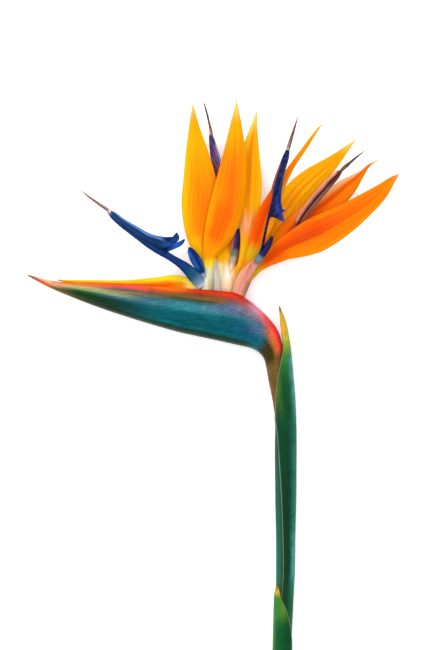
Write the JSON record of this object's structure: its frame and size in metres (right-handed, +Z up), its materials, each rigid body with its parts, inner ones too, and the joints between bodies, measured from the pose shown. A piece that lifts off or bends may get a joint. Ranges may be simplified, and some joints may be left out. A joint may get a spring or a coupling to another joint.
{
  "type": "bird of paradise flower",
  "caption": "Cut bird of paradise flower lying on its side: boat-shaped spathe, orange sepals and blue arrow petals fanned out at the end of a long sheathed stem.",
  "frame": {"origin": "middle of the bounding box on the surface that the flower lies on", "axes": "+Y along the stem from its cut end towards the flowers, +X away from the spathe's tip, +Z up from the surface"},
  "size_m": [0.2438, 0.3889, 0.046],
  "materials": {
    "sepal_orange": "satin petal",
    "sepal_yellow": "satin petal",
    "petal_blue": "satin petal",
    "style_mauve": "matt stalk",
    "flower_base": "matt tube",
    "spathe_skin": "waxy leaf",
    "sheath_green": "waxy leaf",
    "peduncle_green": "fresh stalk"
  },
  "bodies": {
    "root": {"flower1_sepal_left": "sepal_orange", "flower1_sepal_right": "sepal_orange", "flower1_sepal_low": "sepal_yellow", "flower1_nectary": "petal_blue", "flower2_sepal_near": "sepal_orange", "flower2_sepal_mid": "sepal_orange", "flower2_sepal_far": "sepal_orange", "flower2_nectary": "petal_blue", "flower3_sepal_upper": "sepal_orange", "flower3_sepal_lower": "sepal_orange", "flower3_sepal_far": "sepal_orange", "flower3_nectary": "petal_blue", "flower4_sepal_upper": "sepal_orange", "flower4_sepal_lower": "sepal_orange", "flower4_sepal_far": "sepal_orange", "flower4_nectary": "petal_blue", "flower1_arrow": "petal_blue", "flower2_arrow": "petal_blue", "flower3_arrow": "petal_blue", "flower4_arrow": "petal_blue", "flower1_style": "style_mauve", "flower2_style": "style_mauve", "flower3_style": "style_mauve", "flower4_style": "style_mauve", "flower1_base": "flower_base", "flower2_base": "flower_base", "flower3_base": "flower_base", "flower4_base": "flower_base", "peduncle": "peduncle_green", "upper_sheath": "sheath_green", "lower_sheath": "sheath_green", "spathe": "spathe_skin"}
  },
  "joints": []
}
